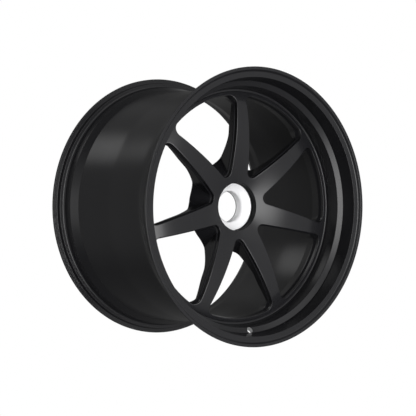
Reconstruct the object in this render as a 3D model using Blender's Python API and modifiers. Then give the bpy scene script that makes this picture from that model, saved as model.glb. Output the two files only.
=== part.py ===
"""Forged centre-lock racing wheel, 18 x 11 J, as an assembly of its separate pieces.

The wheel's axis lies along Y. The outboard (street) side faces -Y, the mounting pad faces +Y, and
the origin is the centre of the rim's width on the axis. Every piece is modelled face up, with its
axis along Z, and hangs from one empty that turns Z to -Y.

Along the axis, "depth" is the distance behind the plane of the outboard flange.
"""

import math

import bmesh
import bpy
from mathutils import Matrix, Vector

MM = 0.001

# Rim contour
SEAT_DIAMETER = 462.0 * MM       # bead seats of an 18-inch rim
BEAD_WIDTH = 279.4 * MM          # 11 inches between the two bead faces
FLANGE_HEIGHT = 17.5 * MM        # flange edge above the bead seat
FLANGE_THICKNESS = 13.3 * MM     # flange edge plane to bead face
FLANGE_CURVE = 9.5 * MM          # radius of the curve on the tyre side of a flange
HEEL_RADIUS = 4.0 * MM           # fillet between bead seat and bead face
SEAT_LENGTH = 20.0 * MM          # bead face to the end of the safety hump
SEAT_ANGLE = math.radians(5.0)
HUMP_WIDTH = 6.0 * MM
HUMP_HEIGHT = 1.2 * MM
WELL_RADIUS = 216.0 * MM         # outside of the drop centre
WELL_START = 68.0 * MM           # depths at which the drop centre starts and ends
WELL_END = 165.0 * MM
BARREL_END = (228.2 * MM, 249.0 * MM)   # outside of the barrel in front of the rear bead seat
BARREL_WALL = 5.0 * MM
INNER_STEP = (219.5 * MM, 252.0 * MM)   # where the inside widens behind the rear bead seat
REAR_OPENING_RADIUS = 234.6 * MM
REAR_LIP_RADII = (239.6 * MM, 240.4 * MM)   # step on the tyre side of the rear flange
REAR_LIP_THICKNESS = 4.5 * MM
EDGE_BREAK = 0.8 * MM            # flange edges

# Dish, seen from the outboard side
LAND_INNER = 243.2 * MM          # raised land around the outboard flange
STEP_DEPTH = 4.0 * MM            # flange band behind the land
BAND_RADII = (230.0 * MM, 240.0 * MM)
CHAMFER = ((226.0 * MM, 30.1 * MM), (216.5 * MM, 35.7 * MM))
DISH_FOOT = (210.7 * MM, 58.4 * MM)

# Spoke disc
SPOKES = 7
CROWN_RADIUS = 143.0 * MM        # where the bowed spoke faces stand proudest
CROWN_DEPTH = 51.7 * MM
HUB_FACE_DEPTH = 68.5 * MM       # spoke face at the edge of the bore
FACE_EDGE = (207.0 * MM, 59.8 * MM)     # outer end of the faces, at the foot of the dish
SPOKE_BACK_DEPTH = 76.0 * MM
SPOKE_BACK_RADIUS = 134.0 * MM   # inside this the back sweeps down to the pad
BACK_SWEEP = 1.5                 # power of that curve
SPOKE_THIN_DEPTH = 72.8 * MM     # back of the spokes where they meet the ring
RING_BACK_DEPTH = 91.0 * MM
RING_BACK_RADII = (187.0 * MM, 201.0 * MM)  # slope between the spokes' back and the ring's
RING_BACK_CHAMFER = (3.5 * MM, 5.0 * MM)    # where the ring's back meets the barrel
PAD_DEPTH = 109.0 * MM           # mounting pad
PAD_RADIUS = 81.0 * MM
PAD_CHAMFER = 1.0 * MM

# Windows between the spokes
SPOKE_INNER = (70.0 * MM, 18.8 * MM)    # radius and half width of a spoke near the hub
SPOKE_OUTER = (186.0 * MM, 11.7 * MM)   # and near the ring
WINDOW_RADIUS = 202.2 * MM
WINDOW_TIP_ROUND = 11.5 * MM
LEDGE_TIP_ROUND = 10.5 * MM
BOSS_TIP_ROUND = 43.0 * MM       # window tip behind the pad, where the boss is wide
WINDOW_CORNER_ROUND = 13.5 * MM
FRONT_WALL = 6.5 * MM            # straight wall of a window behind the spoke faces
LEDGE_WIDTH = 1.8 * MM
LEDGE_SLOPE = 2.5 * MM           # depth of the sloped ledge behind that wall
REAR_DRAFT = 3.2 * MM            # the window widens by this much from its front to behind the pad

# Centre bore and seat insert
BORE_RADIUS = 43.5 * MM
SHOULDER_DEPTH = 100.0 * MM      # shoulder that the insert stands on
SPIGOT_BORE_RADIUS = 36.3 * MM
INSERT_FRONT = 81.9 * MM
INSERT_BACK = 110.0 * MM
INSERT_RADIUS = 43.2 * MM
INSERT_SPIGOT_RADIUS = 36.0 * MM
INSERT_BREAK = 0.7 * MM          # edges of the insert
CONE_RADIUS = 40.6 * MM          # large end of the nut's cone
CONE_END = 91.0 * MM
SPINDLE_RADIUS = 28.4 * MM       # bore for the hub spindle
SEAT_RING_RADII = (42.3 * MM, 45.2 * MM)
SEAT_RING_DEPTHS = (80.3 * MM, 81.5 * MM)
O_RING_DEPTH = 94.5 * MM
O_RING_SECTION = 1.0 * MM        # radius of the cord
O_RING_RADIUS = 42.2 * MM
DOWELS = 3
DOWEL_CIRCLE = 39.8 * MM
DOWEL_RADIUS = 1.5 * MM
DOWEL_DEPTHS = (96.3 * MM, 104.7 * MM)

# Drive-pin bushes in the pad
DRIVE_PINS = 5
PIN_CIRCLE = 65.0 * MM
BUSH_RADII = (8.0 * MM, 11.0 * MM)
BUSH_DEPTHS = (97.0 * MM, 106.5 * MM)
BUSH_RING_RADII = (9.6 * MM, 12.3 * MM)
BUSH_RING_DEPTHS = (106.8 * MM, 107.9 * MM)

BUSH_LEAD_IN = 0.8 * MM

VALVE_HOLE_RADIUS = 5.65 * MM
VALVE_DRILL_LENGTH = 40.0 * MM

GAP = 0.3 * MM                   # clearance kept between touching pieces
OVERSHOOT = 5.0 * MM             # how far a cutter stands out of what it cuts
RING_OPENING = math.radians(14)  # opening of a snap ring
WHEEL_STEPS = 56
SMALL_STEPS = 28
DOWEL_STEPS = 16

HALF_WIDTH = BEAD_WIDTH / 2 + FLANGE_THICKNESS
SEAT_RADIUS = SEAT_DIAMETER / 2
FLANGE_RADIUS = SEAT_RADIUS + FLANGE_HEIGHT
WIDTH = 2 * HALF_WIDTH


def clear_scene():
    for old in list(bpy.data.objects):
        bpy.data.objects.remove(old, do_unlink=True)


def new_collection(name):
    collection = bpy.data.collections.new(name)
    bpy.context.scene.collection.children.link(collection)
    return collection


def make_material(name, colour, roughness, metallic):
    material = bpy.data.materials.new(name)
    material.use_nodes = True
    shader = material.node_tree.nodes["Principled BSDF"]
    shader.inputs["Base Color"].default_value = (*colour, 1.0)
    shader.inputs["Roughness"].default_value = roughness
    shader.inputs["Metallic"].default_value = metallic
    return material


def add_object(name, mesh, material=None):
    """Link a mesh as a piece, or as a cutter when it has no material."""
    item = bpy.data.objects.new(name, mesh)
    item.parent = axle
    if material:
        if not mesh.materials:
            mesh.materials.append(material)
        pieces.objects.link(item)
    else:
        item.hide_render = True
        item.display_type = "WIRE"
        cutters.objects.link(item)
    return item


def height(depth):
    """Local Z of a plane that lies at this depth behind the outboard flange."""
    return HALF_WIDTH - depth


def profile_mesh(name, profile):
    """A closed loop of edges from (radius, depth) pairs, listed down the outer side."""
    mesh = bpy.data.meshes.new(name)
    points = [(radius, 0.0, height(depth)) for radius, depth in profile]
    edges = [(i, (i + 1) % len(points)) for i in range(len(points))]
    mesh.from_pydata(points, edges, [])
    return mesh


def turned(name, profile, steps, material):
    """A piece made by turning a closed profile once around its axis."""
    item = add_object(name, profile_mesh(name, profile), material)
    screw = item.modifiers.new("Turn", "SCREW")
    screw.axis = "Z"
    screw.steps = steps
    screw.render_steps = steps
    screw.use_merge_vertices = True
    screw.merge_threshold = 0.00001
    screw.use_smooth_shade = True
    return item


def cylinder_mesh(name, radius, start, end, steps):
    """A cylinder on the axis between two depths."""
    mesh = bpy.data.meshes.new(name)
    shape = bmesh.new()
    middle = Matrix.Translation((0, 0, height((start + end) / 2)))
    bmesh.ops.create_cone(shape, cap_ends=True, segments=steps, radius1=radius, radius2=radius,
                          depth=end - start, matrix=middle)
    shape.to_mesh(mesh)
    shape.free()
    return mesh


def cut(item, cutter):
    boolean = item.modifiers.new(f"Cut {cutter.name}", "BOOLEAN")
    boolean.operation = "DIFFERENCE"
    boolean.object = cutter


def place_on_circle(item, radius, angle):
    """Move a piece off the axis and turn its local X away from the axis."""
    item.location.x = radius * math.cos(angle)
    item.location.y = radius * math.sin(angle)
    item.rotation_euler.z = angle


def drill(item, name, radius, start, end, circle, angle, steps=SMALL_STEPS):
    """Cut a hole between two depths, on a circle around the axis."""
    cutter = add_object(name, cylinder_mesh(name, radius, start, end, steps))
    place_on_circle(cutter, circle, angle)
    cut(item, cutter)


def arc(centre_radius, centre_depth, radius, start, end, count):
    """Points on a round stretch of a turned profile; 0 degrees points outward, 90 to the rear."""
    points = []
    for i in range(count + 1):
        angle = math.radians(start + (end - start) * i / count)
        points.append((centre_radius + radius * math.cos(angle),
                       centre_depth + radius * math.sin(angle)))
    return points


def bead_seat():
    """From the foot of a bead face inward along the seat to the end of its safety hump."""
    hump_end = FLANGE_THICKNESS + SEAT_LENGTH
    hump_start = hump_end - HUMP_WIDTH
    seat_end = SEAT_RADIUS - (SEAT_LENGTH - HUMP_WIDTH) * math.tan(SEAT_ANGLE)
    return [(SEAT_RADIUS + HEEL_RADIUS, FLANGE_THICKNESS),
            (SEAT_RADIUS, FLANGE_THICKNESS + HEEL_RADIUS),
            (seat_end, hump_start),
            (seat_end + HUMP_HEIGHT, (hump_start + hump_end) / 2),
            (seat_end, hump_end)]


def tyre_side():
    """Outboard flange with its curve, the seats and the drop centre, and the inboard flange."""
    front = [(FLANGE_RADIUS, EDGE_BREAK)]
    front += arc(FLANGE_RADIUS - FLANGE_CURVE, FLANGE_THICKNESS - FLANGE_CURVE, FLANGE_CURVE,
                 0, 90, 4)
    front += bead_seat()
    middle = [(CHAMFER[1][0] + BARREL_WALL, CHAMFER[1][1] + BARREL_WALL),
              (WELL_RADIUS, WELL_START),
              (WELL_RADIUS, WELL_END),
              BARREL_END]
    rear = [(radius, WIDTH - depth) for radius, depth in reversed(bead_seat())]
    flange = [(REAR_LIP_RADII[0], WIDTH - FLANGE_THICKNESS),
              (REAR_LIP_RADII[1], WIDTH - REAR_LIP_THICKNESS),
              (FLANGE_RADIUS - EDGE_BREAK, WIDTH - REAR_LIP_THICKNESS),
              (FLANGE_RADIUS, WIDTH - REAR_LIP_THICKNESS + EDGE_BREAK),
              (FLANGE_RADIUS, WIDTH - EDGE_BREAK)]
    return front + middle + rear + flange


def barrel_inside():
    """From the rear flange forward along the inside of the barrel to the back of the ring."""
    seat_inside = SEAT_RADIUS - BARREL_WALL
    seat_fall = SEAT_LENGTH * math.tan(SEAT_ANGLE)
    well_inside = WELL_RADIUS - BARREL_WALL
    return [(FLANGE_RADIUS - EDGE_BREAK, WIDTH),
            (REAR_OPENING_RADIUS, WIDTH),
            (seat_inside, WIDTH - FLANGE_THICKNESS),
            (seat_inside - seat_fall, WIDTH - FLANGE_THICKNESS - SEAT_LENGTH),
            INNER_STEP,
            (well_inside, WELL_END),
            (well_inside, RING_BACK_DEPTH + RING_BACK_CHAMFER[1]),
            (well_inside - RING_BACK_CHAMFER[0], RING_BACK_DEPTH)]


def spoke_back_depth(radius):
    """The back of the spokes sweeps up from their thin outer part to the mounting pad."""
    rise = PAD_DEPTH - 2 * PAD_CHAMFER - SPOKE_BACK_DEPTH
    share = (SPOKE_BACK_RADIUS - radius) / (SPOKE_BACK_RADIUS - PAD_RADIUS)
    return SPOKE_BACK_DEPTH + rise * max(share, 0.0) ** BACK_SWEEP


def disc_back():
    """From the ring inward to the pad and the spigot bore."""
    points = [(RING_BACK_RADII[1], RING_BACK_DEPTH), (RING_BACK_RADII[0], SPOKE_THIN_DEPTH)]
    steps = 5
    for i in range(steps + 1):
        radius = SPOKE_BACK_RADIUS + (PAD_RADIUS - SPOKE_BACK_RADIUS) * i / steps
        points.append((radius, spoke_back_depth(radius)))
    points += [(PAD_RADIUS, PAD_DEPTH - PAD_CHAMFER), (PAD_RADIUS - PAD_CHAMFER, PAD_DEPTH)]
    return points


def bore_wall():
    """Forward through the bore: spigot bore, shoulder, insert bore and the groove of its ring."""
    groove = SEAT_RING_RADII[1] + GAP
    groove_front = SEAT_RING_DEPTHS[0] - GAP
    groove_back = SEAT_RING_DEPTHS[1] + GAP
    return [(SPIGOT_BORE_RADIUS, PAD_DEPTH),
            (SPIGOT_BORE_RADIUS, SHOULDER_DEPTH),
            (BORE_RADIUS, SHOULDER_DEPTH),
            (BORE_RADIUS, groove_back),
            (groove, groove_back),
            (groove, groove_front),
            (BORE_RADIUS, groove_front),
            (BORE_RADIUS, HUB_FACE_DEPTH)]


def spoke_face_depth(radius):
    """The spoke faces are bowed: proudest at the crown, set back at the hub and at the ring."""
    bow = (HUB_FACE_DEPTH - CROWN_DEPTH) / (CROWN_RADIUS - BORE_RADIUS) ** 2
    return CROWN_DEPTH + bow * (radius - CROWN_RADIUS) ** 2


def disc_face():
    """From the bore outward along the bowed faces, up to the foot of the dish."""
    points = []
    steps = 6
    for i in range(1, steps):
        radius = BORE_RADIUS + (FACE_EDGE[0] - BORE_RADIUS) * i / steps
        points.append((radius, spoke_face_depth(radius)))
    return points + [FACE_EDGE]


def dish():
    """Outward from the ring along the wall of the dish to the outboard flange."""
    return [DISH_FOOT,
            CHAMFER[1],
            CHAMFER[0],
            (BAND_RADII[0], STEP_DEPTH),
            (BAND_RADII[1], STEP_DEPTH),
            (LAND_INNER, 0.0),
            (FLANGE_RADIUS - EDGE_BREAK, 0.0)]


def window_outline(half_width_extra, tip_round, corner_round, outer_radius):
    """Outline of the window centred on +X, from its tip around its upper half and back.

    half_width_extra widens the spokes on both sides, tip_round and corner_round are the radii of
    the rounded corners and outer_radius is the radius of the window's outer side.
    """
    spoke_angle = math.pi / SPOKES
    along = Vector((math.cos(spoke_angle), math.sin(spoke_angle)))
    across = Vector((-along.y, along.x))
    inner = along * SPOKE_INNER[0] - across * (SPOKE_INNER[1] + half_width_extra)
    outer = along * SPOKE_OUTER[0] - across * (SPOKE_OUTER[1] + half_width_extra)
    side = (outer - inner).normalized()
    inward = Vector((side.y, -side.x))
    side_angle = math.atan2(side.y, side.x)

    apex = inner.x - inner.y / math.tan(side_angle)
    tip_centre = apex + tip_round / math.sin(side_angle)
    upper = []
    tip_steps = 6
    for i in range(tip_steps + 1):
        angle = math.pi + (side_angle - math.pi / 2) * i / tip_steps
        upper.append(Vector((tip_centre + tip_round * math.cos(angle),
                             tip_round * math.sin(angle))))

    start = inner + inward * corner_round
    reach = start.dot(side)
    travel = math.sqrt(reach ** 2 - start.length_squared + (outer_radius - corner_round) ** 2)
    corner_centre = start + side * (travel - reach)
    side_end = corner_centre - inward * corner_round
    side_start = upper[-1]
    side_steps = 6
    for i in range(1, side_steps + 1):
        upper.append(side_start.lerp(side_end, i / side_steps))

    first = math.atan2(-inward.y, -inward.x)
    last = math.atan2(corner_centre.y, corner_centre.x)
    corner_steps = 5
    for i in range(1, corner_steps + 1):
        angle = first + (last - first) * i / corner_steps
        upper.append(corner_centre + Vector((math.cos(angle), math.sin(angle))) * corner_round)

    arc_steps = 4
    for i in range(1, arc_steps + 1):
        angle = last * (1 - i / arc_steps)
        upper.append(Vector((math.cos(angle), math.sin(angle))) * outer_radius)
    lower = [Vector((point.x, -point.y)) for point in upper[-2:0:-1]]
    return upper + lower


def window_mesh():
    """A window is a loft: a front wall and a ledge that follow the bowed faces, and a wider rear."""
    front = window_outline(0.0, WINDOW_TIP_ROUND, WINDOW_CORNER_ROUND, WINDOW_RADIUS)
    ledge = window_outline(LEDGE_WIDTH, LEDGE_TIP_ROUND, WINDOW_CORNER_ROUND,
                           WINDOW_RADIUS - LEDGE_WIDTH)
    rear = window_outline(-REAR_DRAFT, BOSS_TIP_ROUND, WINDOW_CORNER_ROUND,
                          WINDOW_RADIUS + REAR_DRAFT)
    wall_ends = [spoke_face_depth(point.length) + FRONT_WALL for point in front]
    ledge_ends = [depth + LEDGE_SLOPE for depth in wall_ends]
    sections = ((front, [CROWN_DEPTH - OVERSHOOT] * len(front)),
                (front, wall_ends),
                (ledge, ledge_ends),
                (rear, [PAD_DEPTH + OVERSHOOT] * len(rear)))
    shape = bmesh.new()
    rings = []
    for outline, depths in sections:
        rings.append([shape.verts.new((point.x, point.y, height(depth)))
                      for point, depth in zip(outline, depths)])
    count = len(rings[0])
    for above, below in zip(rings, rings[1:]):
        for i in range(count):
            j = (i + 1) % count
            shape.faces.new((above[j], above[i], below[i], below[j]))
    shape.faces.new(rings[0])
    shape.faces.new(list(reversed(rings[-1])))
    bmesh.ops.recalc_face_normals(shape, faces=shape.faces)
    mesh = bpy.data.meshes.new("window_cutter")
    shape.to_mesh(mesh)
    shape.free()
    return mesh


def angles(count):
    """Evenly spaced angles, counted from straight up."""
    return [math.pi / 2 + math.tau * i / count for i in range(count)]


def make_wheel_body():
    profile = tyre_side() + barrel_inside() + disc_back() + bore_wall() + disc_face() + dish()
    body = turned("wheel_body", profile, WHEEL_STEPS, black)

    mesh = window_mesh()
    for number, angle in enumerate(angles(SPOKES), 1):
        cutter = add_object(f"window_cutter_{number}", mesh)
        cutter.rotation_euler.z = angle + math.pi / SPOKES
        cut(body, cutter)

    for number, angle in enumerate(angles(DRIVE_PINS), 1):
        drill(body, f"pin_pocket_{number}", BUSH_RADII[1] + GAP,
              BUSH_DEPTHS[0] - GAP, PAD_DEPTH + OVERSHOOT, PIN_CIRCLE, angle)
        drill(body, f"pin_groove_{number}", BUSH_RING_RADII[1] + GAP,
              BUSH_RING_DEPTHS[0] - GAP / 2, BUSH_RING_DEPTHS[1] + GAP, PIN_CIRCLE, angle)

    for number, angle in enumerate(angles(DOWELS), 1):
        drill(body, f"dowel_hole_{number}", DOWEL_RADIUS + GAP,
              SHOULDER_DEPTH - OVERSHOOT, DOWEL_DEPTHS[1] + GAP, DOWEL_CIRCLE, angle, DOWEL_STEPS)

    cut(body, make_valve_drill())


def make_valve_drill():
    """A drill square to the chamfer of the dish, at the bottom of the wheel."""
    (outer_radius, outer_depth), (inner_radius, inner_depth) = CHAMFER
    middle_radius = (outer_radius + inner_radius) / 2
    middle_depth = (outer_depth + inner_depth) / 2
    square = Vector((0.0, outer_depth - inner_depth, inner_radius - outer_radius))
    turn = square.to_track_quat("Z", "X").to_matrix().to_4x4()
    mesh = bpy.data.meshes.new("valve_drill")
    shape = bmesh.new()
    bmesh.ops.create_cone(shape, cap_ends=True, segments=24, radius1=VALVE_HOLE_RADIUS,
                          radius2=VALVE_HOLE_RADIUS, depth=VALVE_DRILL_LENGTH, matrix=turn)
    shape.to_mesh(mesh)
    shape.free()
    valve_drill = add_object("valve_drill", mesh)
    valve_drill.location = (0.0, -middle_radius, height(middle_depth))
    return valve_drill


def make_seat_insert():
    """The silver seat: a cone for the centre-lock nut, then the bore for the hub's spindle."""
    groove_floor = O_RING_RADIUS - O_RING_SECTION - GAP
    groove_half = O_RING_SECTION + GAP
    profile = [(INSERT_RADIUS - INSERT_BREAK, INSERT_FRONT),
               (INSERT_RADIUS, INSERT_FRONT + INSERT_BREAK),
               (INSERT_RADIUS, O_RING_DEPTH - groove_half),
               (groove_floor, O_RING_DEPTH - groove_half),
               (groove_floor, O_RING_DEPTH + groove_half),
               (INSERT_RADIUS, O_RING_DEPTH + groove_half),
               (INSERT_RADIUS, SHOULDER_DEPTH - GAP),
               (INSERT_SPIGOT_RADIUS, SHOULDER_DEPTH - GAP),
               (INSERT_SPIGOT_RADIUS, INSERT_BACK - INSERT_BREAK),
               (INSERT_SPIGOT_RADIUS - INSERT_BREAK, INSERT_BACK),
               (SPINDLE_RADIUS + INSERT_BREAK, INSERT_BACK),
               (SPINDLE_RADIUS, INSERT_BACK - INSERT_BREAK),
               (SPINDLE_RADIUS, CONE_END),
               (CONE_RADIUS, INSERT_FRONT)]
    insert = turned("seat_insert", profile, WHEEL_STEPS, silver)
    for number, angle in enumerate(angles(DOWELS), 1):
        drill(insert, f"insert_dowel_hole_{number}", DOWEL_RADIUS + GAP,
              DOWEL_DEPTHS[0] - GAP, SHOULDER_DEPTH + OVERSHOOT, DOWEL_CIRCLE, angle, DOWEL_STEPS)


def snap_ring(name, radii, depths, steps):
    """A flat snap ring, its section turned short of a full circle and open towards local X."""
    inner, outer = radii
    front, back = depths
    mesh = bpy.data.meshes.new(name)
    shape = bmesh.new()
    start = Vector((math.cos(RING_OPENING / 2), math.sin(RING_OPENING / 2), 0.0))
    corners = []
    for radius, depth in ((outer, front), (outer, back), (inner, back), (inner, front)):
        corners.append(shape.verts.new(start * radius + Vector((0.0, 0.0, height(depth)))))
    end_face = shape.faces.new(corners)
    bmesh.ops.spin(shape, geom=[end_face], cent=(0, 0, 0), axis=(0, 0, 1),
                   angle=math.tau - RING_OPENING, steps=steps, use_duplicate=False)
    bmesh.ops.recalc_face_normals(shape, faces=shape.faces)
    shape.to_mesh(mesh)
    shape.free()
    return add_object(name, mesh, dark_steel)


def make_seat_ring():
    """The ring in front of the insert, open towards the valve hole."""
    ring = snap_ring("seat_ring", SEAT_RING_RADII, SEAT_RING_DEPTHS, 40)
    ring.rotation_euler.z = -math.pi / 2


def make_o_ring():
    section = [(O_RING_RADIUS + O_RING_SECTION * math.cos(math.tau * i / 8),
                O_RING_DEPTH + O_RING_SECTION * math.sin(math.tau * i / 8)) for i in range(8)]
    turned("seat_o_ring", section, SMALL_STEPS, rubber)


def make_dowels():
    """Pins that keep the insert from turning in its shoulder."""
    mesh = cylinder_mesh("dowel", DOWEL_RADIUS, DOWEL_DEPTHS[0], DOWEL_DEPTHS[1], DOWEL_STEPS)
    for number, angle in enumerate(angles(DOWELS), 1):
        dowel = add_object(f"seat_dowel_{number}", mesh, bright_steel)
        place_on_circle(dowel, DOWEL_CIRCLE, angle)


def make_drive_bushes():
    """Steel bushes for the hub's drive pins, each kept in its pocket by a snap ring."""
    inner, outer = BUSH_RADII
    front, back = BUSH_DEPTHS
    profile = [(outer, front), (outer, back), (inner + BUSH_LEAD_IN, back),
               (inner, back - BUSH_LEAD_IN), (inner, front)]
    for number, angle in enumerate(angles(DRIVE_PINS), 1):
        bush = turned(f"drive_bush_{number}", profile, SMALL_STEPS, bright_steel)
        place_on_circle(bush, PIN_CIRCLE, angle)
        ring = snap_ring(f"drive_bush_ring_{number}", BUSH_RING_RADII, BUSH_RING_DEPTHS, 20)
        place_on_circle(ring, PIN_CIRCLE, angle)


clear_scene()
pieces = new_collection("racing_wheel")
cutters = new_collection("cutters")
axle = bpy.data.objects.new("axle", None)
axle.rotation_euler.x = math.pi / 2
pieces.objects.link(axle)

black = make_material("black_coating", (0.022, 0.022, 0.024), 0.42, 0.0)
silver = make_material("seat_silver", (0.86, 0.87, 0.88), 0.3, 1.0)
dark_steel = make_material("ring_steel", (0.03, 0.03, 0.032), 0.4, 0.8)
bright_steel = make_material("bush_steel", (0.5, 0.5, 0.5), 0.28, 1.0)
rubber = make_material("o_ring_rubber", (0.012, 0.012, 0.012), 0.7, 0.0)

make_wheel_body()
make_seat_insert()
make_seat_ring()
make_o_ring()
make_dowels()
make_drive_bushes()
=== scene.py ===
import math

import bmesh
import bpy
import numpy as np
from mathutils import Matrix, Vector


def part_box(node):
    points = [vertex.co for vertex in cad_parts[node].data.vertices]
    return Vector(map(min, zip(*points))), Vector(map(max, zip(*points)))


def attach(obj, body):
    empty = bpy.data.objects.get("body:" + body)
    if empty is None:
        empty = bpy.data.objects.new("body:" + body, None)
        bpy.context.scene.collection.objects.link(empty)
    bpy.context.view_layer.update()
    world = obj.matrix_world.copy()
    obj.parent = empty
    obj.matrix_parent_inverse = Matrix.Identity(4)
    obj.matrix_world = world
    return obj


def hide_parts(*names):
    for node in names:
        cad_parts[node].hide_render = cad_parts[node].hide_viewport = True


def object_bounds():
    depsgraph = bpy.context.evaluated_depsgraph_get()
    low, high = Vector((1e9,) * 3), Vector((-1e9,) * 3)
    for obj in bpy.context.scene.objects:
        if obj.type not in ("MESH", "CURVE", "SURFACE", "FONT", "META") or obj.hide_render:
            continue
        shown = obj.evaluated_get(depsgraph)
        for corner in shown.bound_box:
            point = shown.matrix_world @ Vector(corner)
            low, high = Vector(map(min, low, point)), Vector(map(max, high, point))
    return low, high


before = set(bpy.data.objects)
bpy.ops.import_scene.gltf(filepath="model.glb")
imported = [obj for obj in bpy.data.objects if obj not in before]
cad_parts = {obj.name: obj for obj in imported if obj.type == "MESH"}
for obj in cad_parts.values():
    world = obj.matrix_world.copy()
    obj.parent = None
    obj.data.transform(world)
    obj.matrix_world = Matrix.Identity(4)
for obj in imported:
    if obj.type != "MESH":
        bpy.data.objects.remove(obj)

# Everything below is in metres, in the row frame: the wheel's axis is Y, the street side faces -Y
# and the origin is the centre of the rim's width. "Depth" is the distance behind the plane of the
# outboard flange.
MM = 0.001

CAD_LOW, CAD_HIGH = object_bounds()
FLANGE_RADIUS = (CAD_HIGH.x - CAD_LOW.x) / 2
FRONT_Y = CAD_LOW.y
WIDTH = CAD_HIGH.y - CAD_LOW.y

SPOKES = 7
HALF_PITCH = math.pi / SPOKES

# ---------------------------------------------------------------- body dimensions
FLANGE_THICKNESS = 13.3 * MM
SEAT_RADIUS = FLANGE_RADIUS - 17.5 * MM
SEAT_FALL = math.tan(math.radians(5.0))

CROWN_RADIUS = 143.0 * MM
CROWN_DEPTH = 51.7 * MM
FACE_BOW = 1.7                   # 1/m, curvature of the bowed spoke faces
RING_FALL_RADIUS = 175.0 * MM    # outside this the faces fall away faster
RING_FALL = 2.37                 # 1/m
PAD_DEPTH = 109.0 * MM
PAD_RADIUS = 81.0 * MM
BOSS_TOP_DEPTH = 107.0 * MM      # where the boss meets the edge of the pad
SPOKE_BACK_DEPTH = 76.0 * MM
SPOKE_BACK_RADIUS = 134.0 * MM
BACK_SWEEP = 1.5
THINNING = 3.5 * MM              # the spokes get this much thinner towards the ring
THINNING_RADII = (147.0 * MM, 183.0 * MM)
RING_BACK_DEPTH = 91.0 * MM
RING_BACK_RADII = (187.0 * MM, 201.0 * MM)

SPOKE_INNER = (70.0 * MM, 18.8 * MM)
SPOKE_OUTER = (186.0 * MM, 11.7 * MM)
WINDOW_RADIUS = 202.2 * MM
TIP_ROUND = 11.5 * MM
CORNER_ROUND = 13.5 * MM
FACE_EDGE_ROUND = 1.5 * MM
FRONT_WALL = 6.5 * MM            # depth of the straight wall behind the edge of a face
LEDGE_WIDTH = 1.8 * MM
LEDGE_SLOPES = (2.0 * MM, 6.5 * MM)      # depth of the ledge's slope at the spokes, at the ring
LEDGE_SLOPE_RADII = (186.0 * MM, 200.0 * MM)
LEDGE_TIP_ROUND = 10.5 * MM
REAR_DRAFT = -3.2 * MM
REAR_TIP_ROUND = 43.0 * MM
REAR_DEPTH = 114.0 * MM
REAR_EDGE_ROUND = 1.3 * MM

HUB_CIRCLE = 46.0 * MM           # the spoke faces are meshed from here out
RING_CIRCLE = 204.8 * MM         # to here
RING_BACK_CIRCLE = 205.6 * MM

# ---------------------------------------------------------------- rim contour: radius, depth
FACE_END = 208.3 * MM            # outer end of the spoke faces
FOOT_RADII = (209.2 * MM, 213.4 * MM)       # groove between the faces and the wall of the dish
FOOT_DROP = 1.4 * MM
CHAMFER = ((216.5 * MM, 35.7 * MM), (226.0 * MM, 30.1 * MM))
STEP_DEPTH = 4.0 * MM            # flange band behind the land
BAND_RADII = (230.0 * MM, 240.0 * MM)
LAND_INNER = 243.2 * MM          # raised land around the outboard flange
FLANGE_EDGE = 1.6 * MM           # straight outer edge of the outboard flange
FLANGE_BACK = (244.8 * MM, 6.4 * MM)
BEAD_FACE_RADIUS = 238.5 * MM
HUMP_START = 14.0 * MM           # distances from the bead face
HUMP_TOP = 17.5 * MM
HUMP_END = 22.0 * MM
HUMP_TOP_RISE = 0.1 * MM         # above the bead seat's edge
HUMP_END_FALL = 2.5 * MM
BARREL_START = (222.0 * MM, 44.0 * MM)
WELL_RADIUS = 216.0 * MM         # outside of the drop centre
WELL_DEPTHS = (68.0 * MM, 165.0 * MM)
RAMP_START = (222.4 * MM, 50.0 * MM)        # from here on: radius, distance from the rear face
RAMP_END = (229.6 * MM, 33.0 * MM)
REAR_SEAT_START = (229.9 * MM, 27.6 * MM)
REAR_LIP_INNER = (239.6 * MM, FLANGE_THICKNESS)
REAR_LIP_OUTER = (240.4 * MM, 5.0 * MM)
REAR_LIP_THICKNESS = 4.5 * MM
REAR_OPENING_RADIUS = 234.6 * MM
REAR_MOUTH = (226.5 * MM, 15.5 * MM)
REAR_SEAT_INSIDE = (224.0 * MM, 34.0 * MM)
INNER_STEP = (219.5 * MM, 252.0 * MM)       # radius and depth again
WELL_INSIDE_RADIUS = 211.0 * MM
WELL_INSIDE_START = 97.0 * MM
RING_BACK_EDGE = 208.0 * MM

# ---------------------------------------------------------------- centre bore and seat insert
FIT_GAP = 0.3 * MM               # clearance kept around the seat ring
BORE_RADIUS = 43.5 * MM
SHOULDER_DEPTH = 100.0 * MM      # shoulder that the insert stands on
SPIGOT_BORE_RADIUS = 36.3 * MM
PAD_CHAMFER = 1.5 * MM
INSERT_FLANK = 6.0 * MM          # the insert's profile starts this far behind its front
INSERT_SPIGOT_RADIUS = 36.0 * MM
INSERT_SHOULDER_DEPTH = 99.7 * MM
CONE_RADIUS = 40.6 * MM          # large end of the nut's cone
CONE_END = 91.0 * MM
SPINDLE_RADIUS = 28.4 * MM       # bore for the hub spindle
O_RING_GROOVE = 40.9 * MM        # radius of the groove's floor
O_RING_DEPTHS = (93.2 * MM, 95.8 * MM)

# Painted shade in the bores. The bore in front of the insert is black coat like the rest of the
# body, but it is made matt and unreflective, painted shade that hides the reflection of the lit
# insert.
# The rear edge of the insert's own silver bore gets the same black, a painted dark line.
BORE_SHADE_RADIUS = BORE_RADIUS + 0.4 * MM
BORE_SHADE_END = 82.0 * MM
INSERT_SHADE_RADIUS = SPINDLE_RADIUS + 1.2 * MM
INSERT_SHADE_START = 107.6 * MM

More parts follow.
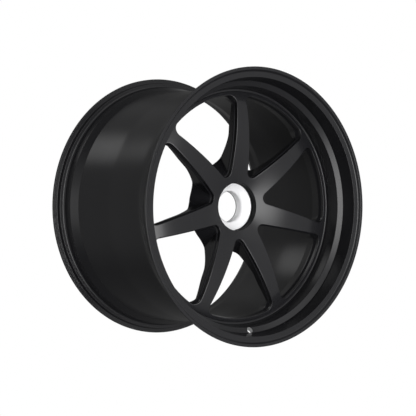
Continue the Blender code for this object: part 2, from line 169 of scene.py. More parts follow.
# ---------------------------------------------------------------- drilled holes
DRIVE_PINS = 5
POCKET_RADIUS = 11.3 * MM
POCKET_DEPTH = 96.7 * MM         # depth of the pockets' floors
POCKET_GROOVE_RADIUS = 12.6 * MM
POCKET_GROOVE_DEPTHS = (106.65 * MM, 108.2 * MM)
OVERSHOOT = 5.0 * MM             # how far a pocket's cutter stands out of the pad
VALVE_RADIUS = 5.65 * MM
VALVE_DRILL_LENGTH = 40.0 * MM
VALVE_MIDDLE = (221.35 * MM, 32.8 * MM)     # radius and depth, on the chamfer of the dish
VALVE_DIRECTION = (0.0, 9.7, -5.8)          # square to the chamfer

# ---------------------------------------------------------------- mesh density
TIP_STEPS, SIDE_STEPS, CORNER_STEPS, ARC_STEPS = 12, 30, 16, 18
CORNER_SPLIT = 8                 # corner steps that still face the spoke's centre line
CORNER_START = 190.0 * MM        # radius at which those steps begin on the centre line
DEGREES_PER_STEP = 9.0           # on fillets
LARGEST_FILLET_SHARE = 0.48      # of the shorter side of a corner
RIM_SPLIT = 12.0 * MM            # longest step along a profile
INSERT_SPLIT = 6.0 * MM
INSERT_STEPS = 168
HOLE_STEPS = 48
MERGE_DISTANCE = 2e-6
BISECTIONS = 40                  # to find where the window's wall meets the back
LARGEST_EDGE_SHARE = 0.4         # of the wall's length

# Where the rows of the mesh lie, as shares of the way across each strip
FACE_SHARES = (1, .85, .7, .55, .4, .27, .16, .08, .03)
EDGE_SHARES = (0, .2, .4, .6, .8, 1)
FRONT_WALL_SHARES = (.25, .6, .9)
LEDGE_SHARES = (.25, .75)
REAR_WALL_SHARES = (.12, .35, .6, .85)
BACK_SHARES = (.04, .1, .2, .35, .5, .67, .84, 1)

# ---------------------------------------------------------------- finishes
NOISE_RANGE = (0.3, 0.7)         # values of a noise texture that a finish is spread over
ROUGHNESS_SPREAD = 0.15          # of a turned metal, either way
WHITE = (1, 1, 1, 1)

# ---------------------------------------------------------------- studio and camera
FLOOR_SIZE = 8.0
AMBIENT = 0.08                   # light from every direction, on top of the soft boxes
# Soft boxes: azimuth from straight ahead of the wheel towards +X and elevation of the centre, full
# strength inside this angle, none outside this one (all in degrees), strength.
SOFT_BOXES = ((-4, -3, 4, 31, 4.6),        # key light in front of the wheel
              (15, 12, 5, 80, 0.34),       # broad fill from the right
              (20, 40, 5, 26, 0.4),        # strip above the fill
              (-85, 4, 15, 48, 0.35),      # fill from the left
              (-149, 37, 5, 15, 0.95),     # behind the wheel, high on the left
              (-178, 36, 8, 26, 0.1),      # behind the wheel, high
              (-104, 0, 8, 18, 0.4),       # strip on the left
              (-138, 2, 12, 44, 0.12),     # dim wall behind the wheel on the left
              (104, 10, 10, 42, 0.55),     # fill from the right
              (168, -5, 8, 26, 0.1))       # fill from behind
LAMP_AZIMUTH = -45.0
LAMP_DISTANCE = 2.0
LAMP_SIZE = 0.6
LAMP_WATTS = 26.0
CAMERA_AZIMUTH = -37.157
CAMERA_ELEVATION = 0.484
CAMERA_BACK, CAMERA_RIGHT, CAMERA_UP = 8.859, -0.3818, -0.0076     # in flange radii
CAMERA_LENS = 107.49808          # mm, on a sensor this wide
SENSOR_WIDTH = 36.0


def face_depth(radius):
    """Depth of the bowed spoke faces."""
    bow = CROWN_DEPTH + FACE_BOW * (radius - CROWN_RADIUS) ** 2
    return bow + RING_FALL * np.maximum(radius - RING_FALL_RADIUS, 0.0) ** 2


def back_depth(radius):
    """Depth of the back of the spokes: the boss, the flat outer part and the ring's slope."""
    share = np.clip((SPOKE_BACK_RADIUS - radius) / (SPOKE_BACK_RADIUS - PAD_RADIUS), 0.0, 1.0)
    sweep = (BOSS_TOP_DEPTH - SPOKE_BACK_DEPTH) * share ** BACK_SWEEP
    spoke = SPOKE_BACK_DEPTH + sweep - THINNING * smooth_share(radius, THINNING_RADII)
    return spoke + (RING_BACK_DEPTH - spoke) * smooth_share(radius, RING_BACK_RADII)


def smooth_share(radius, radii):
    """Rises smoothly from 0 at the first radius to 1 at the second."""
    share = np.clip((radius - radii[0]) / (radii[1] - radii[0]), 0.0, 1.0)
    return share * share * (3 - 2 * share)


def ledge_slope(radius):
    """How far the ledge in a window slopes back: more at the ring than along the spokes."""
    share = smooth_share(radius, LEDGE_SLOPE_RADII)
    return LEDGE_SLOPES[0] + (LEDGE_SLOPES[1] - LEDGE_SLOPES[0]) * share


def half_outline(offset, tip_round, corner_round, outer_radius):
    """Half of a window's outline, from its tip along one spoke to the middle of its outer side.

    The window's centre line is +X. A positive offset makes the window smaller.
    """
    along = np.array([math.cos(HALF_PITCH), math.sin(HALF_PITCH)])
    across = np.array([-along[1], along[0]])
    inner = along * SPOKE_INNER[0] - across * (SPOKE_INNER[1] + offset)
    outer = along * SPOKE_OUTER[0] - across * (SPOKE_OUTER[1] + offset)
    side = (outer - inner) / np.linalg.norm(outer - inner)
    inward = np.array([side[1], -side[0]])
    side_angle = math.atan2(side[1], side[0])

    apex = inner[0] - inner[1] / math.tan(side_angle)
    tip_centre = apex + tip_round / math.sin(side_angle)
    angles = np.linspace(math.pi, math.pi / 2 + side_angle, TIP_STEPS + 1)
    tip = np.c_[tip_centre + tip_round * np.cos(angles), tip_round * np.sin(angles)]

    start = inner + inward * corner_round
    reach = start @ side
    travel = math.sqrt(reach ** 2 - start @ start + (outer_radius - corner_round) ** 2)
    centre = start + side * (travel - reach)
    side_end = centre - inward * corner_round
    share = np.linspace(0, 1, SIDE_STEPS + 1)[1:, None]
    flank = tip[-1] + (side_end - tip[-1]) * share

    first = math.atan2(-inward[1], -inward[0])
    last = math.atan2(centre[1], centre[0])
    angles = np.linspace(first, last, CORNER_STEPS + 1)[1:]
    corner = centre + corner_round * np.c_[np.cos(angles), np.sin(angles)]
    angles = np.linspace(last, 0, ARC_STEPS + 1)[1:]
    arc = outer_radius * np.c_[np.cos(angles), np.sin(angles)]
    return np.vstack([tip, flank, corner, arc])


def outer_boundary(hub_radius, ring_radius):
    """The points that a half outline is joined to: hub circle, spoke centre line, ring circle."""
    hub = np.linspace(0, HALF_PITCH, TIP_STEPS + 1)
    points = [hub_radius * np.c_[np.cos(hub), np.sin(hub)]]
    radii = np.r_[np.linspace(hub_radius, CORNER_START, SIDE_STEPS + 1)[1:],
                  np.linspace(CORNER_START, ring_radius, CORNER_SPLIT + 1)[1:]]
    points.append(radii[:, None] * np.array([[math.cos(HALF_PITCH), math.sin(HALF_PITCH)]]))
    ring = np.linspace(HALF_PITCH, 0, CORNER_STEPS - CORNER_SPLIT + ARC_STEPS + 1)[1:]
    points.append(ring_radius * np.c_[np.cos(ring), np.sin(ring)])
    return np.vstack(points)


def with_depth(points, depth):
    """Points in the plane with a depth, or one depth each, as their third value."""
    return np.c_[points, np.broadcast_to(depth, len(points))]


def curve_between(start, corner, end, shares):
    """Points on a rounded edge that leaves start and arrives at end, pulled towards corner."""
    return [start * (1 - t) ** 2 + corner * (2 * t * (1 - t)) + end * t ** 2 for t in shares]


def strip(inner, outer, depth_of, shares):
    """Rows between an edge and its outer boundary that follow a surface of revolution."""
    rows = []
    for share in shares:
        flat = inner[:, :2] * (1 - share) + outer * share
        rows.append(with_depth(flat, depth_of(np.hypot(flat[:, 0], flat[:, 1]))))
    return rows


def side_normals(points):
    """Unit vectors in the plane, out of the window and into the metal."""
    mirrored = np.vstack([points[1] * (1, -1), points, points[-2] * (1, -1)])
    tangent = mirrored[2:] - mirrored[:-2]
    normal = np.c_[-tangent[:, 1], tangent[:, 0]]
    return normal / np.linalg.norm(normal, axis=1)[:, None]


def window_rows():
    """All rows of one half window, from the spokes' faces through the wall to their backs."""
    face_edge = half_outline(-FACE_EDGE_ROUND, TIP_ROUND + FACE_EDGE_ROUND,
                             CORNER_ROUND + FACE_EDGE_ROUND, WINDOW_RADIUS + FACE_EDGE_ROUND)
    wall = half_outline(0.0, TIP_ROUND, CORNER_ROUND, WINDOW_RADIUS)
    ledge = half_outline(LEDGE_WIDTH, LEDGE_TIP_ROUND, CORNER_ROUND, WINDOW_RADIUS - LEDGE_WIDTH)
    rear = half_outline(REAR_DRAFT, REAR_TIP_ROUND, CORNER_ROUND, WINDOW_RADIUS - REAR_DRAFT)

    face_edge_depth = face_depth(np.hypot(*face_edge.T))
    wall_top_depth = face_depth(np.hypot(*wall.T))
    on_face = with_depth(face_edge, face_edge_depth)
    corner = with_depth(wall, wall_top_depth)
    on_wall = with_depth(wall, wall_top_depth + FACE_EDGE_ROUND)

    boundary = outer_boundary(HUB_CIRCLE, RING_CIRCLE)
    rows = strip(on_face, boundary, face_depth, FACE_SHARES)
    rows += curve_between(on_face, corner, on_wall, EDGE_SHARES)

    ledge_top_depth = wall_top_depth + FRONT_WALL
    ledge_top = with_depth(wall, ledge_top_depth)
    ledge_foot = with_depth(ledge, ledge_top_depth + ledge_slope(np.hypot(*wall.T)))
    for share in FRONT_WALL_SHARES:
        rows.append(on_wall * (1 - share) + ledge_top * share)
    rows.append(ledge_top)
    for share in LEDGE_SHARES:
        rows.append(ledge_top * (1 - share) + ledge_foot * share)
    rows.append(ledge_foot)

    rear_section = with_depth(rear, REAR_DEPTH)
    low = np.zeros(len(rear))
    high = np.ones(len(rear))
    for _ in range(BISECTIONS):
        middle = (low + high) / 2
        point = ledge_foot + (rear_section - ledge_foot) * middle[:, None]
        above = point[:, 2] < back_depth(np.hypot(point[:, 0], point[:, 1]))
        low = np.where(above, middle, low)
        high = np.where(above, high, middle)
    meet = ledge_foot + (rear_section - ledge_foot) * low[:, None]
    length = np.linalg.norm(meet - ledge_foot, axis=1)[:, None]
    edge_share = np.minimum(REAR_EDGE_ROUND / length, LARGEST_EDGE_SHARE)
    wall_end = meet + (ledge_foot - meet) * edge_share
    for share in REAR_WALL_SHARES:
        rows.append(ledge_foot * (1 - share) + wall_end * share)
    back_flat = meet[:, :2] + side_normals(meet[:, :2]) * REAR_EDGE_ROUND
    on_back = with_depth(back_flat, back_depth(np.hypot(*back_flat.T)))
    rows += curve_between(wall_end, meet, on_back, EDGE_SHARES)
    boundary = outer_boundary(PAD_RADIUS, RING_BACK_CIRCLE)
    rows += strip(on_back, boundary, back_depth, BACK_SHARES)
    return rows


def rounded(points):
    """Round the corners of a profile of (radius, depth, fillet radius) triples."""
    result = []
    for i, (radius, depth, fillet) in enumerate(points):
        here = np.array([radius, depth])
        if fillet == 0 or i in (0, len(points) - 1):
            result.append(here)
            continue
        before = np.array(points[i - 1][:2]) - here
        after = np.array(points[i + 1][:2]) - here
        before_length, after_length = np.linalg.norm(before), np.linalg.norm(after)
        before, after = before / before_length, after / after_length
        half = math.acos(max(-1.0, min(1.0, before @ after))) / 2
        longest = LARGEST_FILLET_SHARE * min(before_length, after_length)
        tangent = min(fillet / math.tan(half), longest)
        fillet = tangent * math.tan(half)
        bisector = (before + after) / np.linalg.norm(before + after)
        centre = here + bisector * fillet / math.sin(half)
        start = here + before * tangent - centre
        turn = math.pi - 2 * half
        sign = math.copysign(1.0, start[0] * (after - before)[1] - start[1] * (after - before)[0])
        steps = max(2, math.ceil(math.degrees(turn) / DEGREES_PER_STEP))
        for k in range(steps + 1):
            angle = sign * turn * k / steps
            cos, sin = math.cos(angle), math.sin(angle)
            spoke = np.array([start[0] * cos - start[1] * sin, start[0] * sin + start[1] * cos])
            result.append(centre + spoke)
    return result


def subdivided(profile, longest):
    """Split the long straight stretches of a profile."""
    result = [profile[0]]
    for a, b in zip(profile, profile[1:]):
        count = max(1, math.ceil(np.linalg.norm(b - a) / longest))
        result += [a + (b - a) * k / count for k in range(1, count + 1)]
    return result


def from_rear(point, fillet):
    """A corner of a profile that is given by its distance from the rear flange's face."""
    return point[0], WIDTH - point[1], fillet


def rim_profile():
    """From the ring's face out through the dish, around the flanges and back inside the barrel."""
    foot_depth = face_depth(FACE_END) + FOOT_DROP
    dish = [(RING_CIRCLE, face_depth(RING_CIRCLE), 0),
            (FACE_END, face_depth(FACE_END), 0.5 * MM),
            (FOOT_RADII[0], foot_depth, 0.5 * MM),
            (FOOT_RADII[1], foot_depth, 4.5 * MM),
            (*CHAMFER[0], 1.2 * MM),
            (*CHAMFER[1], 1.2 * MM)]
    front_flange = [(BAND_RADII[0], STEP_DEPTH, 0.6 * MM),
                    (BAND_RADII[1], STEP_DEPTH, 3.0 * MM),
                    (LAND_INNER, 0.0, 0.9 * MM),
                    (FLANGE_RADIUS, 0.0, 0.8 * MM),
                    (FLANGE_RADIUS, FLANGE_EDGE, 0.8 * MM),
                    (*FLANGE_BACK, 3.0 * MM),
                    (BEAD_FACE_RADIUS, FLANGE_THICKNESS, 2.0 * MM)]
    hump_start_radius = SEAT_RADIUS - HUMP_START * SEAT_FALL
    outside = [(SEAT_RADIUS, FLANGE_THICKNESS, 4.0 * MM),
               (hump_start_radius, FLANGE_THICKNESS + HUMP_START, 3.0 * MM),
               (SEAT_RADIUS + HUMP_TOP_RISE, FLANGE_THICKNESS + HUMP_TOP, 3.0 * MM),
               (SEAT_RADIUS - HUMP_END_FALL, FLANGE_THICKNESS + HUMP_END, 4.0 * MM),
               (*BARREL_START, 8.0 * MM),
               (WELL_RADIUS, WELL_DEPTHS[0], 40.0 * MM),
               (WELL_RADIUS, WELL_DEPTHS[1], 180.0 * MM),
               from_rear(RAMP_START, 1.0 * MM),
               from_rear(RAMP_END, 1.0 * MM),
               from_rear(REAR_SEAT_START, 2.0 * MM)]
    rear_flange = [from_rear((SEAT_RADIUS, FLANGE_THICKNESS), 4.0 * MM),
                   from_rear(REAR_LIP_INNER, 1.0 * MM),
                   from_rear(REAR_LIP_OUTER, 1.0 * MM),
                   from_rear((FLANGE_RADIUS, REAR_LIP_THICKNESS), 1.0 * MM),
                   (FLANGE_RADIUS, WIDTH, 0.8 * MM),
                   (REAR_OPENING_RADIUS, WIDTH, 1.0 * MM)]
    inside = [from_rear(REAR_MOUTH, 3.0 * MM),
              from_rear(REAR_SEAT_INSIDE, 8.0 * MM),
              (*INNER_STEP, 14.0 * MM),
              (WELL_INSIDE_RADIUS, WELL_DEPTHS[1], 400.0 * MM),
              (WELL_INSIDE_RADIUS, WELL_INSIDE_START, 3.0 * MM),
              (RING_BACK_EDGE, RING_BACK_DEPTH, 2.0 * MM),
              (RING_BACK_CIRCLE, RING_BACK_DEPTH, 0)]
    return subdivided(rounded(dish + front_flange + outside + rear_flange + inside), RIM_SPLIT)


def bore_profile():
    """From the spoke faces through the bore and its ring groove to the mounting pad."""
    ring_low, ring_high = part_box("seat_ring")
    groove_radius = ring_high.x + FIT_GAP
    groove_front = ring_low.y - FRONT_Y - FIT_GAP
    groove_back = ring_high.y - FRONT_Y + FIT_GAP
    points = [(HUB_CIRCLE, face_depth(HUB_CIRCLE), 0),
              (BORE_RADIUS, face_depth(BORE_RADIUS), 1.3 * MM),
              (BORE_RADIUS, groove_front, 0.2 * MM),
              (groove_radius, groove_front, 0),
              (groove_radius, groove_back, 0),
              (BORE_RADIUS, groove_back, 0),
              (BORE_RADIUS, SHOULDER_DEPTH, 0),
              (SPIGOT_BORE_RADIUS, SHOULDER_DEPTH, 0),
              (SPIGOT_BORE_RADIUS, PAD_DEPTH, 0.8 * MM),
              (PAD_RADIUS - PAD_CHAMFER, PAD_DEPTH, 0.5 * MM),
              (PAD_RADIUS, PAD_DEPTH - PAD_CHAMFER, 0.5 * MM),
              (PAD_RADIUS, BOSS_TOP_DEPTH, 0)]
    return subdivided(rounded(points), RIM_SPLIT)


def insert_profile():
    """The seat insert: nut cone, spindle bore and the outside that sits in the hub."""
    low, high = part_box("seat_insert")
    front, back = low.y - FRONT_Y, high.y - FRONT_Y
    outer = high.x
    points = [(outer, front + INSERT_FLANK, 0),
              (outer, front, 0.7 * MM),
              (CONE_RADIUS, front, 0.4 * MM),
              (SPINDLE_RADIUS, CONE_END, 0),
              (SPINDLE_RADIUS, INSERT_SHADE_START, 0),
              (SPINDLE_RADIUS, back, 0.9 * MM),
              (INSERT_SPIGOT_RADIUS, back, 0.7 * MM),
              (INSERT_SPIGOT_RADIUS, INSERT_SHOULDER_DEPTH, 0),
              (outer, INSERT_SHOULDER_DEPTH, 0.4 * MM),
              (outer, O_RING_DEPTHS[1], 0),
              (O_RING_GROOVE, O_RING_DEPTHS[1], 0),
              (O_RING_GROOVE, O_RING_DEPTHS[0], 0),
              (outer, O_RING_DEPTHS[0], 0)]
    return subdivided(rounded(points), INSERT_SPLIT)


def place(x, z, depth):
    """Points of the row frame from their X and Z and their depth."""
    return np.c_[x, FRONT_Y + depth, z]


def add_grid(shape, grid):
    """Quads between the rows of a grid of points, all of the same length."""
    rows = [[shape.verts.new(point) for point in row] for row in grid]
    for above, below in zip(rows, rows[1:]):
        for i in range(len(above) - 1):
            shape.faces.new((above[i], above[i + 1], below[i + 1], below[i]))


def turned_grid(profile, angles):
    """A grid of points: a profile repeated at each of these angles around the axis."""
    return [place(radius * np.cos(angles), radius * np.sin(angles), np.full(len(angles), depth))
            for radius, depth in profile]


def as_mesh(shape, name):
    """Turn a finished bmesh into a mesh of this name."""
    mesh = bpy.data.meshes.new(name)
    shape.to_mesh(mesh)
    shape.free()
    return mesh


def joined_and_smooth(shape, name):
    """Join the strips of a shape where they touch, and shade it smooth."""
    bmesh.ops.remove_doubles(shape, verts=shape.verts, dist=MERGE_DISTANCE)
    bmesh.ops.recalc_face_normals(shape, faces=shape.faces)
    for face in shape.faces:
        face.smooth = True
    return as_mesh(shape, name)


def add_object(name, data):
    """Put an object with this data in the scene."""
    item = bpy.data.objects.new(name, data)
    bpy.context.scene.collection.objects.link(item)
    return item


def add_piece(name, mesh, material):
    """Put a mesh with this material in the scene."""
    mesh.materials.append(material)
    return add_object(name, mesh)


def weigh_normals(item):
    """Let the large faces set the shading normals, so that flat stretches look flat."""
    normals = item.modifiers.new("Normals", "WEIGHTED_NORMAL")
    normals.mode = "FACE_AREA"
    normals.weight = 50
    normals.keep_sharp = True


def body_mesh():
    """The one-piece wheel: seven lofted windows joined to the turned rim and the turned hub."""
    rows = window_rows()
    ring = outer_boundary(HUB_CIRCLE, RING_CIRCLE)
    hub_angles = np.arctan2(ring[:TIP_STEPS + 1, 1], ring[:TIP_STEPS + 1, 0])
    ring_points = ring[TIP_STEPS + SIDE_STEPS + CORNER_SPLIT:]
    ring_angles = np.arctan2(ring_points[:, 1], ring_points[:, 0])[::-1]
    shape = bmesh.new()
    for number in range(SPOKES):
        turn = math.pi / 2 + HALF_PITCH + number * 2 * HALF_PITCH
        for side in (1, -1):
            grid = []
            for row in rows:
                angle = np.arctan2(row[:, 1] * side, row[:, 0]) + turn
                radius = np.hypot(row[:, 0], row[:, 1])
                grid.append(place(radius * np.cos(angle), radius * np.sin(angle), row[:, 2]))
            add_grid(shape, grid)
            add_grid(shape, turned_grid(rim_profile(), turn + side * ring_angles))
            add_grid(shape, turned_grid(bore_profile(), turn + side * hub_angles))
    return joined_and_smooth(shape, "wheel_body_fine")


def turned_mesh(name, profile):
    """A closed profile turned once around the wheel's axis."""
    angles = np.linspace(0, math.tau, INSERT_STEPS + 1)
    shape = bmesh.new()
    add_grid(shape, turned_grid(list(profile) + [profile[0]], angles))
    return joined_and_smooth(shape, name)


def add_drill(shape, radius, length, turn, middle):
    """Add a round drill of this length, turned and then moved to its middle, to a cutter."""
    drill = bmesh.ops.create_cone(shape, cap_ends=True, segments=HOLE_STEPS, radius1=radius,
                                  radius2=radius, depth=length, matrix=turn)
    bmesh.ops.translate(shape, verts=drill["verts"], vec=middle)


def pin_cutter(radius, start, end):
    """A cutter with one drill between two depths at each of the drive-pin bushes."""
    shape = bmesh.new()
    for number in range(1, DRIVE_PINS + 1):
        low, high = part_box(f"drive_bush_{number}")
        centre = (low + high) / 2
        middle = (centre.x, FRONT_Y + (start + end) / 2, centre.z)
        add_drill(shape, radius, end - start, Matrix.Rotation(math.pi / 2, 4, "X"), middle)
    return as_mesh(shape, "pin_cutter")


def valve_cutter():
    """A drill square to the chamfer of the dish, at the bottom of the wheel."""
    turn = Vector(VALVE_DIRECTION).to_track_quat("Z", "X").to_matrix().to_4x4()
    radius, depth = VALVE_MIDDLE
    shape = bmesh.new()
    add_drill(shape, VALVE_RADIUS, VALVE_DRILL_LENGTH, turn, (0.0, FRONT_Y + depth, -radius))
    return as_mesh(shape, "valve_cutter")


def cut_holes(body):
    """Drill the pin pockets, their ring grooves and the valve hole, and keep only the result."""
    pockets = pin_cutter(POCKET_RADIUS, POCKET_DEPTH, PAD_DEPTH + OVERSHOOT)
    grooves = pin_cutter(POCKET_GROOVE_RADIUS, *POCKET_GROOVE_DEPTHS)
    for mesh in (pockets, grooves, valve_cutter()):
        mesh.materials.append(bare)
        cutter = add_object("cutter", mesh)
        boolean = body.modifiers.new("Holes", "BOOLEAN")
        boolean.operation = "DIFFERENCE"
        boolean.object = cutter
        boolean.material_mode = "TRANSFER"
        bpy.context.view_layer.update()
        evaluated = body.evaluated_get(bpy.context.evaluated_depsgraph_get())
        cut_mesh = bpy.data.meshes.new_from_object(evaluated)
        body.modifiers.clear()
        body.data = cut_mesh
        bpy.data.objects.remove(cutter)


def paint_shade(piece, radius, first_depth, last_depth):
    """Paint shade on the faces inside this radius and between these depths: a matt black that
    reflects almost nothing.
    """
    piece.data.materials.append(shade_black)
    slot = len(piece.data.materials) - 1
    for face in piece.data.polygons:
        centre = piece.matrix_world @ face.center
        depth = centre.y - FRONT_Y
        if math.hypot(centre.x, centre.z) < radius and first_depth < depth < last_depth:
            face.material_index = slot


# ---------------------------------------------------------------- materials
def new_material(name):
    """A new material with its nodes, its links and its main shader."""
    material = bpy.data.materials.new(name)
    material.use_nodes = True
    nodes = material.node_tree.nodes
    return material, nodes, material.node_tree.links, nodes["Principled BSDF"]


def noise(nodes, links, scale, detail=2.0):
    """A noise texture fixed to the piece."""
    coordinates = nodes.new("ShaderNodeTexCoord")
    texture = nodes.new("ShaderNodeTexNoise")
    texture.inputs["Scale"].default_value = scale
    texture.inputs["Detail"].default_value = detail
    links.new(coordinates.outputs["Object"], texture.inputs["Vector"])
    return texture


def vary_roughness(nodes, links, shader, texture, low, high):
    """Spread a shader's roughness between two values by a noise texture."""
    node = nodes.new("ShaderNodeMapRange")
    node.inputs["From Min"].default_value = NOISE_RANGE[0]
    node.inputs["From Max"].default_value = NOISE_RANGE[1]
    node.inputs["To Min"].default_value = low
    node.inputs["To Max"].default_value = high
    links.new(texture.outputs["Fac"], node.inputs["Value"])
    links.new(node.outputs["Result"], shader.inputs["Roughness"])


def add_bump(nodes, links, shader, texture, strength, distance):
    """Let a texture raise the surface of a shader by up to this distance."""
    bump = nodes.new("ShaderNodeBump")
    bump.inputs["Strength"].default_value = strength
    bump.inputs["Distance"].default_value = distance
    links.new(texture.outputs["Fac"], bump.inputs["Height"])
    links.new(bump.outputs["Normal"], shader.inputs["Normal"])


def powder_coat():
    """Satin black powder coat: a fine orange peel and a slight unevenness of its sheen."""
    material, nodes, links, shader = new_material("satin_black")
    shader.inputs["Base Color"].default_value = (0.016, 0.016, 0.018, 1)
    shader.inputs["IOR"].default_value = 1.5
    patches = noise(nodes, links, scale=14.0, detail=3.0)
    vary_roughness(nodes, links, shader, patches, low=0.2, high=0.24)
    peel = noise(nodes, links, scale=900.0, detail=1.0)
    add_bump(nodes, links, shader, peel, strength=0.06, distance=0.2 * MM)
    return material


def turned_metal(name, colour, roughness, metallic):
    """Metal turned around the wheel's axis, with fine concentric tool marks."""
    material, nodes, links, shader = new_material(name)
    shader.inputs["Base Color"].default_value = (*colour, 1)
    shader.inputs["Metallic"].default_value = metallic
    patches = noise(nodes, links, scale=60.0)
    vary_roughness(nodes, links, shader, patches, low=roughness * (1 - ROUGHNESS_SPREAD),
                   high=roughness * (1 + ROUGHNESS_SPREAD))
    coordinates = nodes.new("ShaderNodeTexCoord")
    squeeze = nodes.new("ShaderNodeVectorMath")
    squeeze.operation = "MULTIPLY"
    squeeze.inputs[1].default_value = (1, 0, 1)
    links.new(coordinates.outputs["Object"], squeeze.inputs[0])
    rings = nodes.new("ShaderNodeTexWave")
    rings.wave_type = "RINGS"
    rings.rings_direction = "SPHERICAL"
    rings.inputs["Scale"].default_value = 900.0
    rings.inputs["Distortion"].default_value = 1.5
    links.new(squeeze.outputs["Vector"], rings.inputs["Vector"])
    add_bump(nodes, links, shader, rings, strength=0.06, distance=0.1 * MM)
    return material


def rubber():
    """Matt black rubber of the O-ring."""
    material, nodes, links, shader = new_material("nitrile_rubber")
    shader.inputs["Base Color"].default_value = (0.012, 0.012, 0.012, 1)
    grain = noise(nodes, links, scale=1500.0)
    vary_roughness(nodes, links, shader, grain, low=0.6, high=0.8)
    return material


# ---------------------------------------------------------------- pieces
coat = powder_coat()
silver = turned_metal("silver_seat", (0.93, 0.93, 0.94), roughness=0.42, metallic=0.35)
bare = turned_metal("bare_aluminium", (0.82, 0.82, 0.83), roughness=0.35, metallic=0.6)
# Painted shade for the bores: near black, matt, with almost no specular reflection.
shade_black = turned_metal("painted_shade_bore", (0.01, 0.01, 0.011), roughness=0.6, metallic=0.0)
shade_black.node_tree.nodes["Principled BSDF"].inputs["Specular IOR Level"].default_value = 0.1
dark_steel = turned_metal("black_spring_steel", (0.03, 0.03, 0.032), roughness=0.4, metallic=0.8)
bright_steel = turned_metal("ground_steel", (0.5, 0.5, 0.5), roughness=0.28, metallic=1.0)
nitrile = rubber()

body = add_piece("wheel_body_fine", body_mesh(), coat)
cut_holes(body)
# Painted shade: the bore in front of the insert made matt, so that it shows no reflection of the lit
# insert.
paint_shade(body, BORE_SHADE_RADIUS, 0.0, BORE_SHADE_END)
weigh_normals(body)
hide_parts("wheel_body")
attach(body, "root")

insert = add_piece("seat_insert_fine", turned_mesh("seat_insert_fine", insert_profile()), silver)
# Painted shade: a matt black band on the rear 2.4 mm of the insert's silver bore draws a thin dark
# line.
paint_shade(insert, INSERT_SHADE_RADIUS, INSERT_SHADE_START, WIDTH)
weigh_normals(insert)
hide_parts("seat_insert")
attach(insert, "root")

FINISHES = {"seat_ring": dark_steel, "seat_o_ring": nitrile, "seat_dowel": bright_steel,
            "drive_bush_ring": dark_steel, "drive_bush": bright_steel}
for name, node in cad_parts.items():
    for prefix in sorted(FINISHES, key=len, reverse=True):
        if name.startswith(prefix):
            node.material_slots[0].material = FINISHES[prefix]
            break


# ---------------------------------------------------------------- stage
def direction(azimuth, elevation):
    """Unit vector at these degrees, with the azimuth from straight ahead of the wheel to +X."""
    azimuth, elevation = math.radians(azimuth), math.radians(elevation)
    return Vector((math.sin(azimuth) * math.cos(elevation),
                   -math.cos(azimuth) * math.cos(elevation),
                   math.sin(elevation)))


def camera_switch(nodes, links, for_camera, for_others):
    """Show one shader to the camera and another to every other ray."""
    path = nodes.new("ShaderNodeLightPath")
    mix = nodes.new("ShaderNodeMixShader")
    links.new(path.outputs["Is Camera Ray"], mix.inputs["Fac"])
    links.new(for_others, mix.inputs[1])
    links.new(for_camera, mix.inputs[2])
    return mix.outputs["Shader"]


def add_floor():
    """A plain white floor, which lets the studio's light through to the underside of the wheel."""
    signs = ((-1, -1), (1, -1), (1, 1), (-1, 1))
    corners = [(x * FLOOR_SIZE, y * FLOOR_SIZE, CAD_LOW.z) for x, y in signs]
    mesh = bpy.data.meshes.new("floor")
    mesh.from_pydata(corners, [], [(0, 1, 2, 3)])
    material, nodes, links, shader = new_material("pale_floor")
    nodes.remove(shader)
    white = nodes.new("ShaderNodeEmission")
    clear = nodes.new("ShaderNodeBsdfTransparent")
    links.new(camera_switch(nodes, links, white.outputs["Emission"], clear.outputs["BSDF"]),
              nodes["Material Output"].inputs["Surface"])
    add_piece("floor", mesh, material)


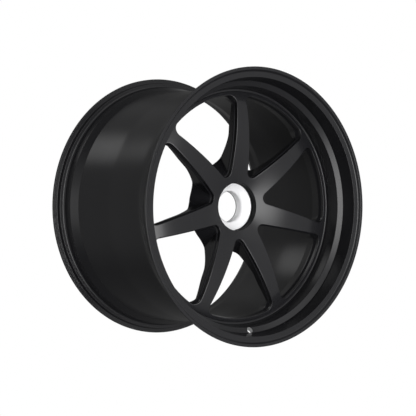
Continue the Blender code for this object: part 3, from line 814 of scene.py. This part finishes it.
def add_world():
    """A white studio for the camera, and a dim one with soft boxes for everything else."""
    world = bpy.data.worlds.new("studio")
    bpy.context.scene.world = world
    world.use_nodes = True
    nodes = world.node_tree.nodes
    links = world.node_tree.links
    studio = nodes["Background"]
    coordinates = nodes.new("ShaderNodeTexCoord")

    total = None
    for azimuth, elevation, inner, outer, strength in SOFT_BOXES:
        dot = nodes.new("ShaderNodeVectorMath")
        dot.operation = "DOT_PRODUCT"
        dot.inputs[1].default_value = direction(azimuth, elevation)
        links.new(coordinates.outputs["Generated"], dot.inputs[0])
        lobe = nodes.new("ShaderNodeMapRange")
        lobe.interpolation_type = "SMOOTHSTEP"
        lobe.inputs["From Min"].default_value = math.cos(math.radians(outer))
        lobe.inputs["From Max"].default_value = math.cos(math.radians(inner))
        lobe.inputs["To Min"].default_value = 0.0
        lobe.inputs["To Max"].default_value = strength
        links.new(dot.outputs["Value"], lobe.inputs["Value"])
        add = nodes.new("ShaderNodeMath")
        add.operation = "ADD"
        add.inputs[1].default_value = AMBIENT
        links.new(lobe.outputs["Result"], add.inputs[0])
        if total:
            links.new(total, add.inputs[1])
        total = add.outputs["Value"]
    links.new(total, studio.inputs["Strength"])
    studio.inputs["Color"].default_value = WHITE

    white = nodes.new("ShaderNodeBackground")
    white.inputs["Color"].default_value = WHITE
    links.new(camera_switch(nodes, links, white.outputs["Background"], studio.outputs["Background"]),
              nodes["World Output"].inputs["Surface"])


def add_insert_lamp(insert):
    """A lamp to the left of straight ahead that lights only the bright seat insert."""
    data = bpy.data.lights.new("insert_lamp", "AREA")
    data.size = LAMP_SIZE
    data.energy = LAMP_WATTS
    lamp = add_object("insert_lamp", data)
    back = direction(LAMP_AZIMUTH, 0.0)
    lamp.location = back * LAMP_DISTANCE
    lamp.rotation_euler = back.to_track_quat("Z", "Y").to_euler()
    lit = bpy.data.collections.new("lit_by_insert_lamp")
    lit.objects.link(insert)
    lamp.light_linking.receiver_collection = lit


def add_camera():
    """The camera looks almost level at the wheel from the front left."""
    back = direction(CAMERA_AZIMUTH, CAMERA_ELEVATION)
    right = direction(CAMERA_AZIMUTH + 90.0, 0.0)
    up = back.cross(right)
    offset = back * CAMERA_BACK + right * CAMERA_RIGHT + up * CAMERA_UP
    position = Vector((0.0, FRONT_Y, 0.0)) + FLANGE_RADIUS * offset
    data = bpy.data.cameras.new("camera")
    data.sensor_width = SENSOR_WIDTH
    data.lens = CAMERA_LENS
    camera = add_object("camera", data)
    turn = Matrix((right, up, back)).transposed()
    camera.matrix_world = Matrix.Translation(position) @ turn.to_4x4()
    bpy.context.scene.camera = camera


add_floor()
add_world()
add_camera()
add_insert_lamp(insert)
bpy.context.scene.view_settings.view_transform = "Standard"
